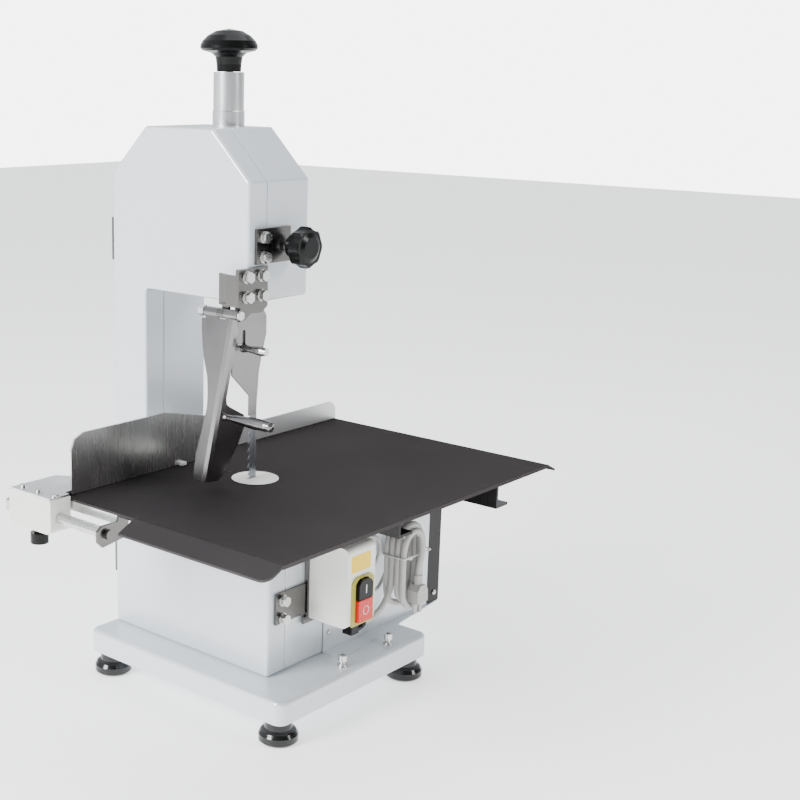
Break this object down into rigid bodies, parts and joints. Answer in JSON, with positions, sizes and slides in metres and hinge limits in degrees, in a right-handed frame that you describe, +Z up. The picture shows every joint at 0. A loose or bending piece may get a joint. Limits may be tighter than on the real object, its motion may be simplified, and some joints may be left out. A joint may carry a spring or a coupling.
{
  "type": "bone saw",
  "caption": "Countertop meat and bone band saw: C-shaped housing with hinged front door, direct-drive wheel and idler, toothed band, steel table, sliding fence and swinging pusher.",
  "frame": {"origin": "on the surface the saw stands on, below the centre of the overall box", "axes": "+X to the operator's right, +Y away from the operator, +Z up"},
  "size_m": [0.507, 0.637, 0.927],
  "materials": {
    "grey_paint": "silver-grey powder coat, semi-gloss",
    "black_rubber": "glossy black rubber",
    "zinc_steel": "zinc-plated or bright machined steel",
    "stainless": "polished stainless sheet",
    "black_plastic": "glossy black moulding",
    "blade_steel": "ground blade steel",
    "cast_aluminium": "machined rim, cast web",
    "cast_iron": "oiled machined iron",
    "motor_grey": "motor enamel",
    "dark_sheet": "dark brushed stainless sheet",
    "white_plastic": "off-white nylon",
    "cream_plastic": "off-white moulding",
    "yellow_plastic": "olive-yellow moulding",
    "red_plastic": "red moulding",
    "grey_cord": "light grey sheath"
  },
  "bodies": {
    "frame": {"base_plate": "grey_paint", "rubber_feet": "black_rubber", "base_screws": "zinc_steel", "rear_housing": "grey_paint", "hinge_leaves": "stainless", "saw_blade": "blade_steel", "carriage_guides": "cast_iron", "tension_tube": "stainless", "tension_spring": "zinc_steel", "motor_body": "motor_grey", "motor_shields": "motor_grey", "motor_bearings": "zinc_steel", "fan_cowl": "motor_grey", "motor_cover": "grey_paint", "motor_rear_cap": "dark_sheet", "table": "stainless", "table_insert": "white_plastic", "table_rails": "dark_sheet", "lead_peg": "zinc_steel", "fence_rod": "zinc_steel", "rod_bracket": "stainless", "lower_guide": "white_plastic", "blade_scrapers": "white_plastic", "switch_bracket": "stainless", "switch_box": "cream_plastic", "switch_bezel": "yellow_plastic", "cable_glands": "black_plastic", "lead_hank": "grey_cord", "mains_plug": "grey_cord", "mains_lead": "grey_cord", "motor_lead": "grey_cord"},
    "drive": {"drive_shaft": "zinc_steel", "lower_wheel": "cast_aluminium", "wheel_nut": "zinc_steel", "motor_fan": "black_plastic"},
    "carriage": {"wheel_carriage": "cast_iron", "upper_axle": "zinc_steel"},
    "idler": {"upper_wheel": "cast_aluminium", "wheel_bearings": "zinc_steel"},
    "tensioner": {"tension_screw": "zinc_steel", "tension_knob": "black_plastic"},
    "door": {"front_door": "grey_paint", "door_hinge_leaves": "stainless", "latch_plates": "stainless", "door_bolts": "zinc_steel", "pusher_bracket": "stainless", "pusher_pin": "zinc_steel", "guard_holder": "stainless"},
    "latch_knob": {"star_knob": "black_plastic", "knob_stud": "zinc_steel"},
    "pusher": {"pusher_plate": "stainless", "pusher_handle": "stainless"},
    "guard": {"blade_guard": "stainless"},
    "guard_clamp": {"guard_screw": "zinc_steel"},
    "fence": {"fence_plate": "stainless", "fence_block": "white_plastic", "fence_screws": "zinc_steel"},
    "fence_clamp": {"fence_lock_screw": "black_plastic"},
    "start_key": {"on_button": "black_plastic"},
    "stop_key": {"off_button": "red_plastic"}
  },
  "joints": [
    {"name": "motor_spin", "type": "hinge", "parent": "frame", "child": "drive", "pos_m": [-0.1045, -0.047, 0.175], "axis": [0, 1, 0], "continuous": true},
    {"name": "tension_knob_turn", "type": "hinge", "parent": "frame", "child": "tensioner", "pos_m": [-0.1045, 0.0075, 0.88], "axis": [0, 0, 1], "range_deg": [0, 960]},
    {"name": "carriage_slide", "type": "slide", "parent": "frame", "child": "carriage", "axis": [0, 0, 1], "range_m": [-0.00399, 0]},
    {"name": "idler_spin", "type": "hinge", "parent": "carriage", "child": "idler", "pos_m": [-0.1045, -0.047, 0.68993], "axis": [0, 1, 0], "continuous": true},
    {"name": "door_swing", "type": "hinge", "parent": "frame", "child": "door", "pos_m": [-0.2475, -0.0485, 0.4], "axis": [0, 0, 1], "range_deg": [-30, 0]},
    {"name": "latch_knob_turn", "type": "hinge", "parent": "frame", "child": "latch_knob", "pos_m": [0.0405, -0.0165, 0.648], "axis": [1, 0, 0], "range_deg": [-360, 0]},
    {"name": "pusher_swing", "type": "hinge", "parent": "door", "child": "pusher", "pos_m": [-0.0095, -0.1125, 0.566], "axis": [1, 0, 0], "range_deg": [-95, 0]},
    {"name": "guard_slide", "type": "slide", "parent": "door", "child": "guard", "axis": [0, 0, 1], "range_m": [-0.02, 0]},
    {"name": "guard_clamp_turn", "type": "hinge", "parent": "door", "child": "guard_clamp", "pos_m": [0.0105, -0.0785, 0.516], "axis": [1, 0, 0], "range_deg": [0, 360]},
    {"name": "fence_slide", "type": "slide", "parent": "frame", "child": "fence", "axis": [1, 0, 0], "range_m": [0, 0.08]},
    {"name": "fence_clamp_turn", "type": "hinge", "parent": "fence", "child": "fence_clamp", "pos_m": [-0.1495, -0.3025, 0.27], "axis": [0, 0, 1], "range_deg": [0, 360]},
    {"name": "on_button_press", "type": "slide", "parent": "frame", "child": "start_key", "axis": [1, 0, 0], "range_m": [-0.003, 0], "stiffness_N_per_m": 300},
    {"name": "off_button_press", "type": "slide", "parent": "frame", "child": "stop_key", "axis": [1, 0, 0], "range_m": [-0.003, 0], "stiffness_N_per_m": 300}
  ],
  "couplings": [
    {"joint": "tension_knob_turn", "follows": "carriage_slide", "rad_per_m": -4188.8},
    {"joint": "idler_spin", "follows": "motor_spin", "ratio": 1}
  ]
}
